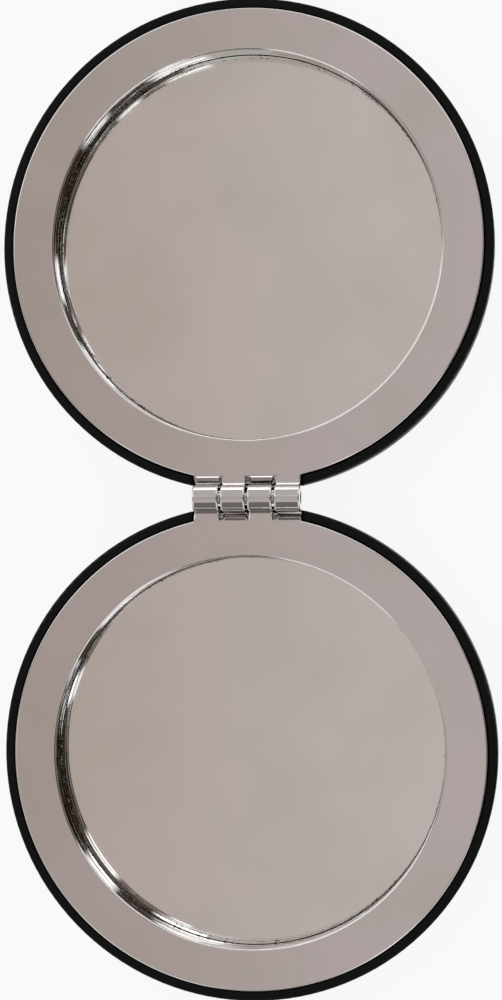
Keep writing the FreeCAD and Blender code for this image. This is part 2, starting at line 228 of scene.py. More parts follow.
def new_piece(name, shells, materials, material_index=None):
    """Stack shells into one mesh: each shell's corner numbers are raised by the count of points before it."""
    points = np.concatenate([part[0] for part in shells]) * MM
    starts = np.cumsum([0] + [len(part[0]) for part in shells[:-1]])
    quads = np.concatenate([part[1] + start for part, start in zip(shells, starts)])
    mesh = bpy.data.meshes.new(name)
    mesh.from_pydata(points.tolist(), [], quads.tolist())
    if material_index is not None:
        mesh.polygons.foreach_set("material_index", material_index.astype(np.int32))
    work = bmesh.new()
    work.from_mesh(mesh)
    bmesh.ops.remove_doubles(work, verts=work.verts, dist=MERGE_DISTANCE * MM)
    bmesh.ops.dissolve_degenerate(work, edges=work.edges, dist=MERGE_DISTANCE * MM)
    bmesh.ops.recalc_face_normals(work, faces=work.faces)
    work.to_mesh(mesh)
    work.free()
    mesh.polygons.foreach_set("use_smooth", np.ones(len(mesh.polygons), dtype=bool))
    mesh.set_sharp_from_angle(angle=SHARP_EDGE)
    for material in materials:
        mesh.materials.append(material)
    piece = bpy.data.objects.new(name, mesh)
    bpy.context.scene.collection.objects.link(piece)
    print(name, "faces", len(mesh.polygons))
    return piece


print("edges sharper than", round(math.degrees(SHARP_EDGE)), "degrees stay crisp")

# %% [markdown]
# The frames are moulded ABS under bright chrome plate. A plain metal shader would do, but it looks drawn: real plate
# follows the plastic under it. So slow noise in the bump gives the faint waviness of the moulding, and level ridges
# on the upright walls are what turning left in the mould. The ridges are drawn coarser than real ones, so that their
# thin lines still show in the reflections. They end at the walls' upper edge: the flat face is polished after turning.

# %% Relief of the plate
MOULDING_WAVE = 5.0
WAVE_HEIGHT = 0.03
WAVE_STRENGTH = 0.6
TURNING_LINE = 0.75
TURNING_RUN = 20.0
RIDGE_FOOT, RIDGE_CREST = 0.5, 0.62  # values of the noise
RIDGE_HEIGHT = 0.02
LINES_END = 0.25  # below the flat face


def plate_relief(tree, place):
    """Normals of the plate: slow waves, and ridges from a noise that is short in height and long round the wall."""
    wave = add_node(tree, "ShaderNodeTexNoise", {"Vector": place, "Scale": 1 / (MOULDING_WAVE * MM), "Detail": 1.0})
    level = add_node(tree, "ShaderNodeMapping", {
        "Vector": place,
        "Scale": (1 / (TURNING_RUN * MM), 1 / (TURNING_RUN * MM), 1 / (TURNING_LINE * MM)),
    })
    lines = add_node(tree, "ShaderNodeTexNoise", {"Vector": level.outputs["Vector"], "Scale": 1.0, "Detail": 2.0})
    ridges = add_node(tree, "ShaderNodeMapRange", {
        "Value": lines.outputs["Fac"],
        "From Min": RIDGE_FOOT,
        "From Max": RIDGE_CREST,
    })
    height = add_node(tree, "ShaderNodeSeparateXYZ", {"Vector": place}).outputs["Z"]
    on_wall = add_node(tree, "ShaderNodeMapRange", {
        "Value": height,
        "From Min": (face_height - LINES_END) * MM,
        "From Max": face_height * MM,
        "To Min": 1.0,
        "To Max": 0.0,
    })
    turned = add_node(tree, "ShaderNodeMath", {
        0: ridges.outputs["Result"],
        1: on_wall.outputs["Result"],
    }, operation="MULTIPLY")
    waves = add_node(tree, "ShaderNodeBump", {
        "Height": wave.outputs["Fac"],
        "Strength": WAVE_STRENGTH,
        "Distance": WAVE_HEIGHT * MM,
    })
    relief = add_node(tree, "ShaderNodeBump", {
        "Height": turned.outputs[0],
        "Strength": 1.0,
        "Distance": RIDGE_HEIGHT * MM,
        "Normal": waves.outputs["Normal"],
    })
    return relief.outputs["Normal"]


print("ridges about", TURNING_LINE, "mm apart and", TURNING_RUN, "mm long, ending", LINES_END, "mm below the face")

# %% [markdown]
# The plate itself is a metal, a little darker than the silver of a mirror. Perfect polish would look like computer
# chrome, because every real one has been wiped: fine noise in the roughness leaves a trace of that.

# %% Bright chrome plate
CHROME = "#E4E1E1"
WIPE_MARK = 0.8
CLEAN_PLATE, WIPED_PLATE = 0.015, 0.05  # roughness


def bright_chrome():
    # The eye sees a near-mirror, a little darker than silvered glass, whose reflections bend slightly as one moves.
    material, tree = new_material("bright_chrome_plate")
    place = add_node(tree, "ShaderNodeTexCoord").outputs["Object"]
    relief = plate_relief(tree, place)
    wiping = add_node(tree, "ShaderNodeTexNoise", {"Vector": place, "Scale": 1 / (WIPE_MARK * MM), "Detail": 3.0})
    haze = add_node(tree, "ShaderNodeMapRange", {
        "Value": wiping.outputs["Fac"],
        "To Min": CLEAN_PLATE,
        "To Max": WIPED_PLATE,
    })
    shader = add_node(tree, "ShaderNodeBsdfPrincipled", {
        "Base Color": linear(CHROME),
        "Metallic": 1.0,
        "Roughness": haze.outputs["Result"],
        "Normal": relief,
    })
    return finish_material(material, shader)


chrome_plate = bright_chrome()

# %% [markdown]
# Each frame has a flat bright ring, a drafted wall down to the tray, and a skirt that clips into the cover. As a
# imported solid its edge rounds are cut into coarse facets, which a near-mirror shows at once. So the ring gets a new
# profile, with close rows in the rounds and one row more beside each round, which keeps the flats flat under smooth
# shading. The wall's foot sweeps up from the glass, as a polished mould leaves it, and that draws the dark line
# between wall and mirror.

# %% Profile of the frame
# In millimetres, as in the construction. Heights count from the table.
MIRROR_CLEARANCE = 0.05
RECESS_DRAFT = 0.1
TRAY_FLOOR_TOP = 2.0
TRAY_FLOOR_BOTTOM = 1.2
TRAY_OUTER_RADIUS = 25.4
RECESS_EDGE_ROUND = 0.25
RIM_EDGE_ROUND = 0.14
ROUND_STEPS = 15
RING_BOTTOM = 5.8
SKIRT_BOTTOM = 4.2
SKIRT_INNER_RADIUS = 28.8
GROOVE_HEIGHT = 5.0
GROOVE_DEPTH = 0.25
SUPPORT = 0.04  # from a round to the row beside it
SWEEP_BOTTOM = 3.4
SWEEP_TOP = 4.5
SWEEP_STEPS = 9
tray_radius = mirror_radius + MIRROR_CLEARANCE
recess_radius = tray_radius + RECESS_DRAFT
draft = math.atan2(RECESS_DRAFT, face_height - TRAY_FLOOR_TOP)


def wall_sweep():
    """Radius and height where the wall's upright foot leads to its draft: a parabola that meets it with no kink."""
    share = np.linspace(0, 1, SWEEP_STEPS)
    slope = math.tan(draft)
    rise = SWEEP_TOP - SWEEP_BOTTOM
    step = recess_radius - (face_height - SWEEP_TOP) * slope - tray_radius
    bend = slope * rise - step
    radius = tray_radius + (step - bend) * share + bend * share ** 2
    return np.stack([radius, SWEEP_BOTTOM + rise * share], axis=-1)


def ring_profile():
    """Radius and height along the ring, from the tray's middle over the face and the skirt to the tray's underside."""
    wall_radius = recess_radius - RECESS_EDGE_ROUND * math.tan(draft)
    wall_top = face_height - RECESS_EDGE_ROUND - SUPPORT
    inner_middle = (wall_radius + RECESS_EDGE_ROUND / math.cos(draft), face_height - RECESS_EDGE_ROUND)
    inner_round = arc(inner_middle, RECESS_EDGE_ROUND, 180 - math.degrees(draft), 90, ROUND_STEPS)
    rim_middle = (frame_radius - RIM_EDGE_ROUND, face_height - RIM_EDGE_ROUND)
    rim_round = arc(rim_middle, RIM_EDGE_ROUND, 90, 0, ROUND_STEPS)
    return np.concatenate([
        [(0, TRAY_FLOOR_TOP), (tray_radius, TRAY_FLOOR_TOP)],
        wall_sweep(),
        [(wall_radius - SUPPORT * math.tan(draft), wall_top)],
        inner_round,
        [(inner_middle[0] + SUPPORT, face_height), (rim_round[0][0] - SUPPORT, face_height)],
        rim_round,
        [(frame_radius, GROOVE_HEIGHT + GROOVE_DEPTH), (frame_radius - GROOVE_DEPTH, GROOVE_HEIGHT),
         (frame_radius, GROOVE_HEIGHT - GROOVE_DEPTH), (frame_radius, SKIRT_BOTTOM),
         (SKIRT_INNER_RADIUS, SKIRT_BOTTOM), (SKIRT_INNER_RADIUS, RING_BOTTOM), (TRAY_OUTER_RADIUS, RING_BOTTOM),
         (TRAY_OUTER_RADIUS, TRAY_FLOOR_BOTTOM), (0, TRAY_FLOOR_BOTTOM)],
    ])


print("tray radius", tray_radius.round(2), "recess radius", recess_radius.round(2),
      "draft", round(math.degrees(draft), 2), "degrees, profile points", len(ring_profile()))

# %% [markdown]
# Turning the profile about the half's middle makes ring, wall and tray in one surface. A Screw modifier could turn
# it, but the rim isn't round all the way: in the hinge sector it is cut back to a straight chord, where the hinge
# leaf takes over. A grid of angles can limit its radius there, and gets closer columns in that sector.

# %% Frame ring and tray
HINGE_WIDTH = 13.5
HINGE_CHORD = 28.82
SECTOR_COLUMNS = 61
OTHER_COLUMNS = 720


def ring_points():
    """x = r sin a, y = r cos a, with a from the hinge; in the hinge sector r is at most HINGE_CHORD / cos a."""
    sector_end = math.asin(HINGE_WIDTH / 2 / frame_radius)
    sector = np.linspace(-sector_end, sector_end, SECTOR_COLUMNS)
    outside = np.linspace(sector_end, 2 * math.pi - sector_end, OTHER_COLUMNS)
    angle = np.concatenate([sector, outside])
    limit = np.concatenate([HINGE_CHORD / np.cos(sector), np.full(len(outside), frame_radius)])
    profile = ring_profile()
    radius = np.minimum(profile[:, :1], limit[None, :])
    height = np.broadcast_to(profile[:, 1:], radius.shape)
    return np.stack([radius * np.sin(angle), radius * np.cos(angle), height], axis=-1)


print("ring grid", ring_points().shape[:2], "rows and columns")

# %% [markdown]
# The hinge leaf is the moulded block at the ring's edge with two knuckles on it. Between them the other half's
# knuckles turn in slots: a ramp leads down from the ring's face to a hollow that follows the barrels. The ramp is
# plated too, and light that falls in comes back up between ramp and barrel. One profile carried along the hinge
# makes the whole block, and the knuckles stand on it.

# %% Hinge block with its slots
KNUCKLES = 4
KNUCKLE_GAP = 0.3
SLOT_REACH = 2.8  # from the hinge axis to the start of the ramp
SLOT_EDGE_ROUND = 0.12
SLOT_EDGE_STEPS = 8
RAMP_FALL = 40.0
HOLLOW_RADIUS = 2.05
HOLLOW_STEPS = 16
BLOCK_BACK = 27.1
BLOCK_STANDOFF = 1.36  # from the block's end to the hinge axis
BLOCK_BOTTOM = 4.01
BLOCK_TOP = 6.3
BLOCK_INSET = 0.02
TAB_BACK = 28.7
PLATE_STEP = 0.004  # between faces that lie on each other, so that they don't flicker
block_end = half_offset - BLOCK_STANDOFF
pitch = HINGE_WIDTH / KNUCKLES
edges = -HINGE_WIDTH / 2 + pitch * np.arange(KNUCKLES + 1)
knuckle_spans = [(edges[0], edges[1] - KNUCKLE_GAP / 2), (edges[2] + KNUCKLE_GAP / 2, edges[3] - KNUCKLE_GAP / 2)]


def block_points():
    """A closed profile (y, z) carried along x: flat top, edge round, ramp to the hollow, hollow, end and bottom."""
    top = face_height - 2 * PLATE_STEP
    fall = math.radians(RAMP_FALL)
    run = np.array([math.cos(fall), -math.sin(fall)])
    edge = np.array([half_offset - SLOT_REACH, top])
    back = SLOT_EDGE_ROUND * math.tan(fall / 2)
    from_axis = edge - np.array([half_offset, axis_height])
    along = from_axis @ run
    ramp_length = -along - math.sqrt(along ** 2 - from_axis @ from_axis + HOLLOW_RADIUS ** 2)
    foot = from_axis + ramp_length * run
    hollow_start = math.degrees(math.atan2(foot[1], foot[0])) + 360
    hollow_end = 180 + math.degrees(math.acos((half_offset - block_end) / HOLLOW_RADIUS))
    profile = np.concatenate([
        [(BLOCK_BACK, BLOCK_TOP), (TAB_BACK, BLOCK_TOP), (TAB_BACK, top)],
        arc((edge[0] - back, top - SLOT_EDGE_ROUND), SLOT_EDGE_ROUND, 90, 90 - RAMP_FALL, SLOT_EDGE_STEPS),
        arc((half_offset, axis_height), HOLLOW_RADIUS, hollow_start, hollow_end, HOLLOW_STEPS),
        [(block_end, BLOCK_BOTTOM), (BLOCK_BACK, BLOCK_BOTTOM)],
    ])
    x = np.array([-1, 1])[:, None] * (HINGE_WIDTH / 2 - BLOCK_INSET) * np.ones(len(profile))[None, :]
    y, z = np.broadcast_to(profile[:, 0], x.shape), np.broadcast_to(profile[:, 1], x.shape)
    return np.stack([x, y, z], axis=-1)


def capped(points):
    """Close both ends of a carried profile: an extra first and last row, drawn together at the row's middle."""
    first = np.broadcast_to(points[:1].mean(axis=1, keepdims=True), points[:1].shape)
    last = np.broadcast_to(points[-1:].mean(axis=1, keepdims=True), points[-1:].shape)
    return np.concatenate([first, points, last])


print("knuckles of one half, from and to:", [(round(a, 2), round(b, 2)) for a, b in knuckle_spans], "mm")

# %% [markdown]
# A knuckle is a tab that leaves the ring's face through a small hollow and rolls up into a barrel round the pin. Its
# ends are rounded, which is what catches the light in the photograph. Moving every arc of the profile inwards by the
# same amount gives a parallel profile, so the rounded ends are the same formula with a growing inset, and a last
# step to the pin bore closes the knuckle into one ring-shaped surface.

# %% Hinge knuckles
BARREL_RADIUS = 1.7
BARREL_STEPS = 84
ROOT_HOLLOW = 0.35
ROOT_STEPS = 10
KNUCKLE_END_ROUND = 0.22
KNUCKLE_END_STEPS = 8
TAB_EDGE_SHARE = 0.3  # of the inset that the tab's flat top takes
TAB_DEPTH = 1.0
UNDERSIDE_COLUMNS = 9
UNDERSIDE_END = 29.0


def knuckle_points(span, bore_radius):
    """Rows are stations (x, inset e) along the pin; the columns go round the tab: barrel R - e, hollow h + e."""
    turn = np.radians(np.linspace(90, 0, KNUCKLE_END_STEPS))
    lead_x = np.append(KNUCKLE_END_ROUND * (1 - np.sin(turn)), KNUCKLE_END_ROUND + SUPPORT)
    lead_inset = np.append(KNUCKLE_END_ROUND * (1 - np.cos(turn)), 0)
    x = np.concatenate([span[0] + lead_x, span[1] - lead_x[::-1]])
    e = np.concatenate([lead_inset, lead_inset[::-1]])[:, None]
    rise = face_height + ROOT_HOLLOW - axis_height
    hollow_y = half_offset - math.sqrt((BARREL_RADIUS + ROOT_HOLLOW) ** 2 - rise ** 2)
    lean = math.degrees(math.asin(rise / (BARREL_RADIUS + ROOT_HOLLOW)))
    hollow = np.radians(np.linspace(-90, -lean, ROOT_STEPS))[None, :]
    barrel = np.radians(np.linspace(180 - lean, -90, BARREL_STEPS))[None, 1:]
    top = face_height - PLATE_STEP - TAB_EDGE_SHARE * e
    ones = np.ones_like(e)
    under_y = ones * np.linspace(half_offset - SUPPORT, UNDERSIDE_END, UNDERSIDE_COLUMNS)
    under_z = (axis_height - BARREL_RADIUS + e) * np.ones(UNDERSIDE_COLUMNS)
    y = np.concatenate([ones * TAB_BACK, ones * TAB_BACK, ones * (hollow_y - SUPPORT),
                        hollow_y + (ROOT_HOLLOW + e) * np.cos(hollow),
                        half_offset + (BARREL_RADIUS - e) * np.cos(barrel), under_y], axis=1)
    z = np.concatenate([ones * (face_height - TAB_DEPTH), top, top,
                        face_height - PLATE_STEP + ROOT_HOLLOW + (ROOT_HOLLOW + e) * np.sin(hollow),
                        axis_height + (BARREL_RADIUS - e) * np.sin(barrel), under_z], axis=1)
    # Each column of the bore lies at the angle of the outer column, and the angle never turns back.
    angle = np.unwrap(np.arctan2(z[0] - axis_height, y[0] - half_offset))
    angle = np.minimum.accumulate(angle)[None, :]
    bore_y = half_offset + bore_radius * np.cos(angle)
    bore_z = axis_height + bore_radius * np.sin(angle)
    y = np.concatenate([bore_y, y, bore_y])
    z = np.concatenate([bore_z, z, bore_z])
    x = np.concatenate([x[:1], x, x[-1:]])[:, None]
    return np.stack([np.broadcast_to(x, y.shape), y, z], axis=-1)


print("knuckle grid", knuckle_points(knuckle_spans[0], pin_radius).shape[:2], "rows and columns")

# %% [markdown]
# On the real object, ring, block and knuckles are one moulding, plated in one bath. Boolean modifiers could join them,
# but they leave slivers just where the chrome shows most. So the closed shells are stacked in one piece and overlap
# inside, where nobody sees it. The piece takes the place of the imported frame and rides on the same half.

# %% Plated frames
BORE_CLEARANCE = {"base": 0.01, "lid": 0.05}  # the pin is pressed into the base and turns in the lid
for half in ("base", "lid"):
    bore_radius = pin_radius + BORE_CLEARANCE[half]
    shells = [shell(place_half(ring_points(), half)), shell(place_half(capped(block_points()), half))]
    for span in knuckle_spans:
        shells.append(shell(place_half(knuckle_points(span, bore_radius), half), wrap_rows=True))
    plated = new_piece(half + "_frame_plated", shells, [chrome_plate])
    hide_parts(half + "_frame")
    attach(plated, half)

# %% [markdown]
# Each mirror is a cut disc of thin float glass, silvered on its back. A disc that simply reflects on its front would
# lose the glass: its clear edge carries the wall's reflection on. So the disc is a closed body with three finishes,
# and the first is the clear glass, with a trace of roughness where it was wiped.

# %% Polished glass
GLASS_IOR = 1.52
SMEAR = 4.0
SMEAR_START, SMEAR_FULL = 0.5, 0.8  # values of the noise
SMEAR_HAZE = 0.012  # roughness


def polished_glass():
    # The eye sees nothing of clear glass but its faint front reflection, and smears where it was wiped.
    material, tree = new_material("polished_float_glass")
    place = add_node(tree, "ShaderNodeTexCoord").outputs["Object"]
    smears = add_node(tree, "ShaderNodeTexNoise", {"Vector": place, "Scale": 1 / (SMEAR * MM), "Detail": 2.0})
    haze = add_node(tree, "ShaderNodeMapRange", {
        "Value": smears.outputs["Fac"],
        "From Min": SMEAR_START,
        "From Max": SMEAR_FULL,
        "To Max": SMEAR_HAZE,
    })
    shader = add_node(tree, "ShaderNodeBsdfPrincipled", {
        "Base Color": linear("#FFFFFF"),
        "Roughness": haze.outputs["Result"],
        "IOR": GLASS_IOR,
        "Transmission Weight": 1.0,
    })
    return finish_material(material, shader)


clear_glass = polished_glass()

# %% [markdown]
# Along the cut edge the glass is chipped, and its broken faces sparkle. Rough clear glass would need many bounces of
# light to show that. A pale surface with dark flecks gives the same look at once.

# %% Chipped glass edge
CHIP_SPECK = 0.5
SPECK_START, SPECK_FULL = 0.4, 0.5  # values of the noise
# The specks are painted light: the bright ones are painted glints, the dark ones painted shade between them.
SPECK_PAINTED_SHADE, SPECK_PAINTED_GLINT = "#14110E", "#D8DAD4"
BROKEN_ROUGHNESS = 0.25


def painted_glint_edge():
    # Broken glass scatters: the eye sees bright specks with dark ones between them. Both are painted into the colour:
    # the bright specks are painted glints, the dark ones painted shade.
    material, tree = new_material("chipped_glass_edge_painted_glints")
    place = add_node(tree, "ShaderNodeTexCoord").outputs["Object"]
    flecks = add_node(tree, "ShaderNodeTexNoise", {"Vector": place, "Scale": 1 / (CHIP_SPECK * MM), "Detail": 2.0})
    share = add_node(tree, "ShaderNodeMapRange", {
        "Value": flecks.outputs["Fac"],
        "From Min": SPECK_START,
        "From Max": SPECK_FULL,
    })
    colour = add_node(tree, "ShaderNodeMix", {
        MIX_SHARE: share.outputs["Result"],
        MIX_FIRST: linear(SPECK_PAINTED_SHADE),
        MIX_SECOND: linear(SPECK_PAINTED_GLINT),
    }, data_type="RGBA")
    shader = add_node(tree, "ShaderNodeBsdfPrincipled", {
        "Base Color": colour.outputs[MIX_RESULT],
        "Roughness": BROKEN_ROUGHNESS,
        "IOR": GLASS_IOR,
    })
    return finish_material(material, shader)


chipped_glass = painted_glint_edge()

# %% [markdown]
# Behind the glass lies a thin coat of silver. It could be one flat colour, but poured silver is never quite even, so
# two nearly equal tones are mixed in slow patches.

# %% Silver backing
SILVER_PATCH = 9.0
FULL_SILVER, THIN_SILVER = "#F5F3F2", "#EFEFEC"


def silver_backing():
    # The eye sees the studio almost unchanged, a shade darker and yellower in patches where the silver is thinner.
    material, tree = new_material("silvered_backing")
    place = add_node(tree, "ShaderNodeTexCoord").outputs["Object"]
    patches = add_node(tree, "ShaderNodeTexNoise", {"Vector": place, "Scale": 1 / (SILVER_PATCH * MM)})
    colour = add_node(tree, "ShaderNodeMix", {
        MIX_SHARE: patches.outputs["Fac"],
        MIX_FIRST: linear(FULL_SILVER),
        MIX_SECOND: linear(THIN_SILVER),
    }, data_type="RGBA")
    shader = add_node(tree, "ShaderNodeBsdfPrincipled", {
        "Base Color": colour.outputs[MIX_RESULT],
        "Metallic": 1.0,
        "Roughness": 0.0,
    })
    return finish_material(material, shader)


mirror_finishes = [clear_glass, chipped_glass, silver_backing()]
CLEAR, CHIPPED, SILVERED = range(len(mirror_finishes))

# %% [markdown]
# The disc is scored with a wheel and broken out, so its upper edge carries chips. They could be drawn as a bump, but
# they catch the light from below as well, through the silver, and only real notches do that. Each chip is a small
# parabola cut into the edge. A fixed seed for each half gives the same chips on every run.

# %% Chips round a mirror
MIRROR_COLUMNS = 1440
CHIPS = 160
CHIP_HALF_WIDTH = (0.06, 0.18)
CHIP_DEPTH = (0.02, 0.09)
CHIP_SEED = {"base": 3, "lid": 8}


def chip_depth(seed):
    """Depth of chips round the edge: for each chip, depth times (1 - (distance / half width) squared), if positive."""
    random = np.random.default_rng(seed)
    around = np.linspace(0, 2 * np.pi, MIRROR_COLUMNS, endpoint=False)
    middle = random.uniform(0, 2 * np.pi, CHIPS)
    half_width = random.uniform(*CHIP_HALF_WIDTH, CHIPS) / mirror_radius
    depth = random.uniform(*CHIP_DEPTH, CHIPS)
    apart = np.abs((around[:, None] - middle[None, :] + np.pi) % (2 * np.pi) - np.pi)
    bites = depth * (1 - (apart / half_width) ** 2)
    return around, np.maximum(bites, 0).max(axis=1)


for half, seed in CHIP_SEED.items():
    print(half, "mirror: deepest chip", chip_depth(seed)[1].max().round(3), "mm")

# %% [markdown]
# The disc is a grid whose rows run out over the front, over the chipped arris, down the edge and in again under the
# silver. A plain disc with a bevel would be quicker, but here every row knows which finish it carries, and the chips
# simply move the rows of the arris.

# %% Mirror discs
ARRIS = 0.012
ARRIS_FALL = 0.8
ARRIS_BEND = 1.5
ARRIS_SHARES = np.array([0.35, 0.7, 1])[:, None]
FRONT_SHARES = np.array([0, 0.5, 0.9, 1, 1])[:, None]
FRONT_SUPPORT = 0.01
SILVER_LIFT = 0.02  # of the silver over the tape
FRONT_ROWS, ARRIS_ROWS, EDGE_ROWS, LOWER_ARRIS_ROWS, BACK_ROWS = 4, 3, 1, 1, 2


def mirror_points(seed):
    """Rows over front, arris, edge and back. Of a cut c, the arris goes out by c s and down by 0.8 c s to the 1.5."""
    around, chips = chip_depth(seed)
    cut = ARRIS + chips
    top, bottom = mirror_high[2], mirror_low[2] + SILVER_LIFT
    front_radius = FRONT_SHARES * (mirror_radius - cut)
    front_radius[-2] -= FRONT_SUPPORT
    arris_radius = mirror_radius - cut * (1 - ARRIS_SHARES)
    arris_height = top - ARRIS_FALL * cut * ARRIS_SHARES ** ARRIS_BEND
    back_radius = np.array([mirror_radius, mirror_radius - ARRIS, mirror_radius / 2, 0])[:, None]
    back_height = np.array([bottom + ARRIS, bottom, bottom, bottom])[:, None]
    level = np.ones_like(around)[None, :]
    radius = np.concatenate([front_radius, arris_radius, back_radius * level])
    height = np.concatenate([np.full(front_radius.shape, top), arris_height, back_height * level])
    return np.stack([radius * np.sin(around), radius * np.cos(around), height], axis=-1)


finish_of_row = np.repeat([CLEAR, CHIPPED, CLEAR, CHIPPED, SILVERED],
                          [FRONT_ROWS, ARRIS_ROWS, EDGE_ROWS, LOWER_ARRIS_ROWS, BACK_ROWS])
for half, seed in CHIP_SEED.items():
    disc = shell(place_half(mirror_points(seed), half))
    mirror = new_piece(half + "_mirror_glass", [disc], mirror_finishes, np.repeat(finish_of_row, MIRROR_COLUMNS))
    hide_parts(half + "_mirror")
    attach(mirror, half)

# %% [markdown]
# The covers are black ABS from a spark-eroded mould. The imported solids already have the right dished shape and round
# edges, so they stay and only get their finish. Gloss alone would look like lacquer: the eroded grain makes the skin
# satin, so one fine noise drives both bump and roughness. Real grain is about 0.1 mm, and it is drawn coarser to show.

# %% Black moulded covers
BLACK = "#0B0B0B"
ABS_IOR = 1.53
ABS_GLOSS = 0.12  # specular level of the eroded skin
MOULD_GRAIN = 0.35
GRAIN_HEIGHT = 0.02
GRAIN_STRENGTH = 0.2
SMOOTH_SKIN, ROUGH_SKIN = 0.4, 0.52  # roughness


def satin_black_abs():
    # The eye sees a deep neutral black with a wide, soft, slightly grainy highlight along the round edge.
    material, tree = new_material("satin_black_abs")
    place = add_node(tree, "ShaderNodeTexCoord").outputs["Object"]
    grain = add_node(tree, "ShaderNodeTexNoise", {"Vector": place, "Scale": 1 / (MOULD_GRAIN * MM), "Detail": 2.0})
    bump = add_node(tree, "ShaderNodeBump", {
        "Height": grain.outputs["Fac"],
        "Strength": GRAIN_STRENGTH,
        "Distance": GRAIN_HEIGHT * MM,
    })
    shine = add_node(tree, "ShaderNodeMapRange", {
        "Value": grain.outputs["Fac"],
        "To Min": SMOOTH_SKIN,
        "To Max": ROUGH_SKIN,
    })
    shader = add_node(tree, "ShaderNodeBsdfPrincipled", {
        "Base Color": linear(BLACK),
        "Roughness": shine.outputs["Result"],
        "IOR": ABS_IOR,
        "Specular IOR Level": ABS_GLOSS,
        "Normal": bump.outputs["Normal"],
    })
    return finish_material(material, shader)


dress(["base_cover", "lid_cover"], satin_black_abs())

# %% [markdown]
# Out of sight, a disc of white foam tape holds each mirror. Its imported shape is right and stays. Noise would make it
# look like paper, but foam is a crowd of small cells, so a pattern of cells makes the bump.

# %% Foam tape
TAPE_WHITE = "#E8E7E0"
FOAM_CELL = 0.4
CELL_DEPTH = 0.05
FOAM_ROUGHNESS = 0.85


def white_foam_tape():
    # The eye sees a matt off-white with the small cells of the foam.
    material, tree = new_material("white_foam_tape")
    place = add_node(tree, "ShaderNodeTexCoord").outputs["Object"]
    cells = add_node(tree, "ShaderNodeTexVoronoi", {"Vector": place, "Scale": 1 / (FOAM_CELL * MM)})
    bump = add_node(tree, "ShaderNodeBump", {"Height": cells.outputs["Distance"], "Distance": CELL_DEPTH * MM})
    shader = add_node(tree, "ShaderNodeBsdfPrincipled", {
        "Base Color": linear(TAPE_WHITE),
        "Roughness": FOAM_ROUGHNESS,
        "Normal": bump.outputs["Normal"],
    })
    return finish_material(material, shader)


dress(["base_mirror_tape", "lid_mirror_tape"], white_foam_tape())

# %% [markdown]
# A small nickel-plated magnet in each half holds the compact shut, and a drawn steel pin runs through the knuckles;
# only the pin's ends show. The two metals differ in their marks, so one function makes both, with marks that may be
# stretched: round ones from tumbling on the magnets, long ones from the drawing die on the pin.

# %% Magnets and pin
SHINY_METAL, MARKED_METAL = 0.15, 0.4  # roughness
X_AXIS, Z_AXIS = 0, 2


def bare_metal(name, colour, mark_length, mark_width, along):
    """A metal whose roughness varies in marks of the given length and width, in millimetres, along one axis."""
    # The eye sees soft metal gloss, broken by duller marks.
    material, tree = new_material(name)
    place = add_node(tree, "ShaderNodeTexCoord").outputs["Object"]
    scale = [1 / (mark_width * MM)] * 3
    scale[along] = 1 / (mark_length * MM)
    stretched = add_node(tree, "ShaderNodeMapping", {"Vector": place, "Scale": scale})
    marks = add_node(tree, "ShaderNodeTexNoise", {"Vector": stretched.outputs["Vector"], "Scale": 1.0, "Detail": 3.0})
    rough = add_node(tree, "ShaderNodeMapRange", {
        "Value": marks.outputs["Fac"],
        "To Min": SHINY_METAL,
        "To Max": MARKED_METAL,
    })
    shader = add_node(tree, "ShaderNodeBsdfPrincipled", {
        "Base Color": linear(colour),
        "Metallic": 1.0,
        "Roughness": rough.outputs["Result"],
    })
    return finish_material(material, shader)


nickel = bare_metal("nickel_plate", "#CBC7C2", mark_length=0.6, mark_width=0.6, along=Z_AXIS)
steel = bare_metal("drawn_steel", "#C4C4C4", mark_length=3.0, mark_width=0.05, along=X_AXIS)
dress(["base_magnet", "lid_magnet"], nickel)
dress(["hinge_pin"], steel)

# %% [markdown]
# The compact lies on a plain white table. A white surface under soft light is only as bright as the light on it, and
# the photograph shows pure white right up to the rim. So the table's finish is a diffuse white that gives off part
# of its brightness itself, only for what the camera, metal or glass sees, and it still keeps the object's shadow.

# %% Table
TABLE_SIDE = 6.0  # metres
TABLE_WHITE = "#FAFAFA"
OWN_LIGHT = 0.9


def white_table():
    # The eye sees plain white paper: even, without gloss, and a little grey where the object shades it.
    material, tree = new_material("white_table")
    path = add_node(tree, "ShaderNodeLightPath").outputs
    seen = add_node(tree, "ShaderNodeMath", {0: path["Is Camera Ray"], 1: path["Is Glossy Ray"]}, operation="MAXIMUM")
    seen = add_node(tree, "ShaderNodeMath", {0: seen.outputs[0], 1: path["Is Transmission Ray"]}, operation="MAXIMUM")
    share = add_node(tree, "ShaderNodeMath", {0: seen.outputs[0], 1: OWN_LIGHT}, operation="MULTIPLY")
    matt = add_node(tree, "ShaderNodeBsdfDiffuse", {"Color": linear(TABLE_WHITE)})
    own = add_node(tree, "ShaderNodeEmission", {"Color": linear("#FFFFFF"), "Strength": 1.0})
    mixed = add_node(tree, "ShaderNodeMixShader", {0: share.outputs[0], 1: matt.outputs[0], 2: own.outputs[0]})
    return finish_material(material, mixed)


table_mesh = bpy.data.meshes.new("table")
table_corners = np.array([(-1, -1, 0), (1, -1, 0), (1, 1, 0), (-1, 1, 0)]) * TABLE_SIDE / 2
table_mesh.from_pydata(table_corners.tolist(), [], [(0, 1, 2, 3)])
table_mesh.materials.append(white_table())
table = bpy.data.objects.new("table", table_mesh)
bpy.context.scene.collection.objects.link(table)
print("table", TABLE_SIDE, "m square")

# %% [markdown]
# Chrome and mirrors show nothing but the studio round them, so the studio is most of their look. Lamps and boards
# could be built one by one, but a mirror only needs directions. So the world's colour is laid out by direction, and
# every direction is read as two angles: how far it is from the zenith, and how far round.

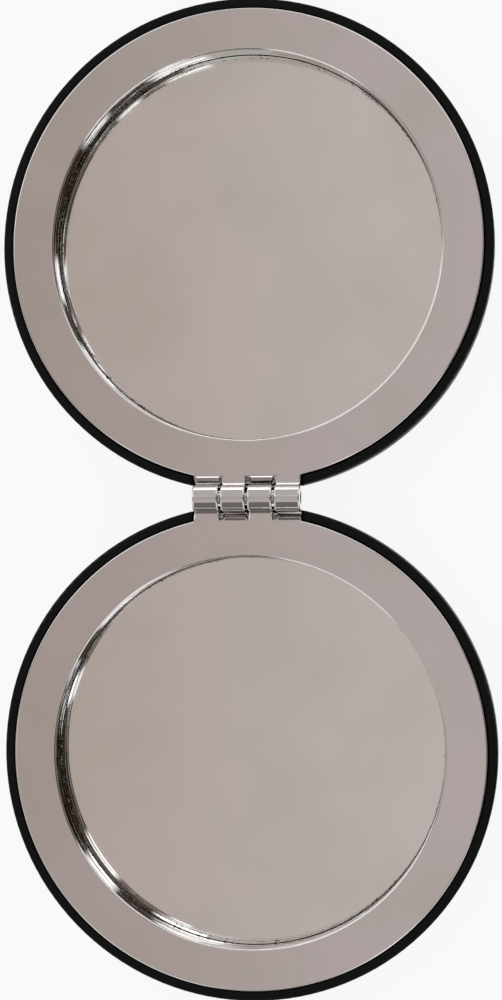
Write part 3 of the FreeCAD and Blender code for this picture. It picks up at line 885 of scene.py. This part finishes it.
# %% Directions in the studio
studio = bpy.data.worlds.new("soft_studio")
bpy.context.scene.world = studio
studio.use_nodes = True
sky = studio.node_tree
sky.nodes.clear()
direction = add_node(sky, "ShaderNodeTexCoord").outputs["Generated"]
parts = add_node(sky, "ShaderNodeSeparateXYZ", {"Vector": direction}).outputs
azimuth = add_node(sky, "ShaderNodeMath", {0: parts["Y"], 1: parts["X"]}, operation="ARCTAN2").outputs[0]
zenith = add_node(sky, "ShaderNodeMath", {0: parts["Z"]}, operation="ARCCOSINE").outputs[0]
turn_share = add_node(sky, "ShaderNodeMapRange", {
    "Value": azimuth,
    "From Min": -math.pi,
    "From Max": math.pi,
}).outputs["Result"]
print(studio.name, "is laid out by zenith angle and azimuth")

# %% [markdown]
# A photographer lights chrome with white soft boxes and shapes it with boards of grey, brown and dark card. They stand
# side by side round the studio, so one colour ramp over the azimuth holds a whole ring of them, with a soft edge of a
# few degrees between neighbours. White boxes differ only in their strength.

# %% Soft boxes and boards
BOX_EDGE = 5.0
WHITE = "#FFFFFF"
white_box, strong_box, back_box, tent = [(WHITE, strength) for strength in (1.45, 2.4, 1.3, 0.95)]
grey, dim, brown, umber, dark = [(tone, 1.0) for tone in ("#BFBCB7", "#75706B", "#665A52", "#3F332B", "#1E120A")]


def boxes_round(zones):
    """Colours round the studio: a zone (end in degrees from +X, (colour, strength)) starts where the last one ends."""
    ramp = add_node(sky, "ShaderNodeValToRGB", {"Fac": turn_share})
    points = ramp.color_ramp.elements
    start = -180
    for end, (colour, strength) in zones:
        for place in (start + BOX_EDGE / 2, end - BOX_EDGE / 2):
            points.new((place + 180) / 360).color = [strength * c for c in linear(colour)[:3]] + [1.0]
        start = end
    points.remove(points[0])
    points.remove(points[-1])
    return ramp.outputs["Color"]


print("strengths of the white boxes:", [box[1] for box in (white_box, strong_box, back_box, tent)])

# %% [markdown]
# A tray wall sends what the camera sees on to the mirror and from there back up, close to the zenith. So narrow rings
# round the zenith draw the streaks on the walls, and the wide ones lower down light the barrels of the hinge, the rims
# and the covers. Each ring is laid over the one before it from its own zenith angle on, in degrees.

# %% Rings of the studio
OVERHEAD = "#A89F99"
RING_EDGE = 0.2
ring_zones = {
    8.3: [(-160, grey), (-106, white_box), (-74, brown), (85, dim), (170, brown), (180, grey)],
    9.7: [(-106, white_box), (-74, brown), (-55, white_box), (-25, umber), (5, dark), (20, umber), (49, white_box),
          (85, brown), (130, white_box), (172, brown), (180, white_box)],
    11.2: [(-105, grey), (-80, white_box), (-62, umber), (-46, white_box), (44, umber), (69, white_box), (91, brown),
           (128, white_box), (172, brown), (180, grey)],
    12.4: [(-167, brown), (-137, white_box), (-88, grey), (-62, umber), (-46, white_box), (15, dark), (75, umber),
           (108, white_box), (160, grey), (180, brown)],
    13.6: [(-167, brown), (-137, white_box), (-88, grey), (-68, umber), (22, dark), (31, umber), (51, white_box),
           (75, umber), (108, white_box), (160, grey), (180, brown)],
    15.9: [(-98, grey), (-69, white_box), (-43, umber), (-25, white_box), (30, umber), (50, white_box), (78, umber),
           (110, white_box), (180, grey)],
    19.0: [(-160, brown), (-76, grey), (-71, strong_box), (-50, brown), (-31, dim), (27, dark), (60, dim),
           (81, brown), (116, grey), (166, back_box), (180, brown)],
    37.5: [(-139, grey), (-106, tent), (-78, dim), (-31, tent), (27, dim), (81, tent), (115, grey), (168, tent),
           (180, grey)],
    76.5: [(-139, grey), (-106, tent), (-78, dim), (-31, tent), (27, dim), (76, tent), (115, strong_box), (168, tent),
           (180, grey)],
}
colour = linear(OVERHEAD)
for start, zones in ring_zones.items():
    ring = boxes_round(zones)
    beyond = add_node(sky, "ShaderNodeMapRange", {
        "Value": zenith,
        "From Min": math.radians(start - RING_EDGE),
        "From Max": math.radians(start + RING_EDGE),
    }, interpolation_type="SMOOTHSTEP")
    colour = add_node(sky, "ShaderNodeMix", {
        MIX_SHARE: beyond.outputs["Result"],
        MIX_FIRST: colour,
        MIX_SECOND: ring,
    }, data_type="RGBA").outputs[MIX_RESULT]
print("studio rings", len(ring_zones), "with", sum(len(zones) for zones in ring_zones.values()), "boxes and boards")

# %% [markdown]
# Straight overhead is a taupe ceiling, which fills both mirrors and rings. One flat colour would look empty, so it
# runs from a darker side to a lighter one, with slow patches of a greyer tone in both.

# %% Ceiling
SIDE_START, SIDE_END = -0.24, -0.04  # along X, as a share of the direction
PLAIN_DARK, PLAIN_LIGHT = "#B5A7A2", "#C3B9B7"
PATCH_DARK, PATCH_LIGHT = "#AFA49C", "#BDB5AF"
PATCHES = 24.0
PATCH_START, PATCH_FULL = 0.35, 0.75  # values of the noise
across = add_node(sky, "ShaderNodeMapRange", {
    "Value": parts["X"],
    "From Min": SIDE_START,
    "From Max": SIDE_END,
}, interpolation_type="SMOOTHSTEP").outputs["Result"]
plain = add_node(sky, "ShaderNodeMix", {
    MIX_SHARE: across,
    MIX_FIRST: linear(PLAIN_DARK),
    MIX_SECOND: linear(PLAIN_LIGHT),
}, data_type="RGBA")
patched = add_node(sky, "ShaderNodeMix", {
    MIX_SHARE: across,
    MIX_FIRST: linear(PATCH_DARK),
    MIX_SECOND: linear(PATCH_LIGHT),
}, data_type="RGBA")
patches = add_node(sky, "ShaderNodeTexNoise", {"Vector": direction, "Scale": PATCHES, "Detail": 2.0})
patch_share = add_node(sky, "ShaderNodeMapRange", {
    "Value": patches.outputs["Fac"],
    "From Min": PATCH_START,
    "From Max": PATCH_FULL,
}, interpolation_type="SMOOTHSTEP")
ceiling = add_node(sky, "ShaderNodeMix", {
    MIX_SHARE: patch_share.outputs["Result"],
    MIX_FIRST: plain.outputs[MIX_RESULT],
    MIX_SECOND: patched.outputs[MIX_RESULT],
}, data_type="RGBA").outputs[MIX_RESULT]
print("ceiling from", PLAIN_DARK, "to", PLAIN_LIGHT, "with patches from", PATCH_DARK, "to", PATCH_LIGHT)

# %% [markdown]
# The ceiling shows as two round openings among the rings, one for each half: each lies where that half, like a level
# mirror, sends the look of someone who stands at the photographer's place. They are fixed places in the studio, so
# other views see other parts of it.

# %% Ceiling openings
OPENING_FULL = math.radians(6.5)
OPENING_END = math.radians(7.0)
for half_middle in (half_offset, -half_offset):
    towards = Vector((-CAMERA_FOOT[0], half_middle - CAMERA_FOOT[1], CAMERA_HEIGHT)).normalized()
    along = add_node(sky, "ShaderNodeVectorMath", {0: direction, 1: towards}, operation="DOT_PRODUCT")
    opening = add_node(sky, "ShaderNodeMapRange", {
        "Value": along.outputs["Value"],
        "From Min": math.cos(OPENING_END),
        "From Max": math.cos(OPENING_FULL),
    }, interpolation_type="SMOOTHSTEP")
    colour = add_node(sky, "ShaderNodeMix", {
        MIX_SHARE: opening.outputs["Result"],
        MIX_FIRST: colour,
        MIX_SECOND: ceiling,
    }, data_type="RGBA").outputs[MIX_RESULT]
background = add_node(sky, "ShaderNodeBackground", {"Color": colour})
add_node(sky, "ShaderNodeOutputWorld", {"Surface": background.outputs[0]})
print("studio nodes", len(sky.nodes))

# %% [markdown]
# The picture is shown with the plain Standard transform, so that a colour written in a finish is about the colour
# seen.

# %% Colour management
bpy.context.scene.view_settings.view_transform = "Standard"
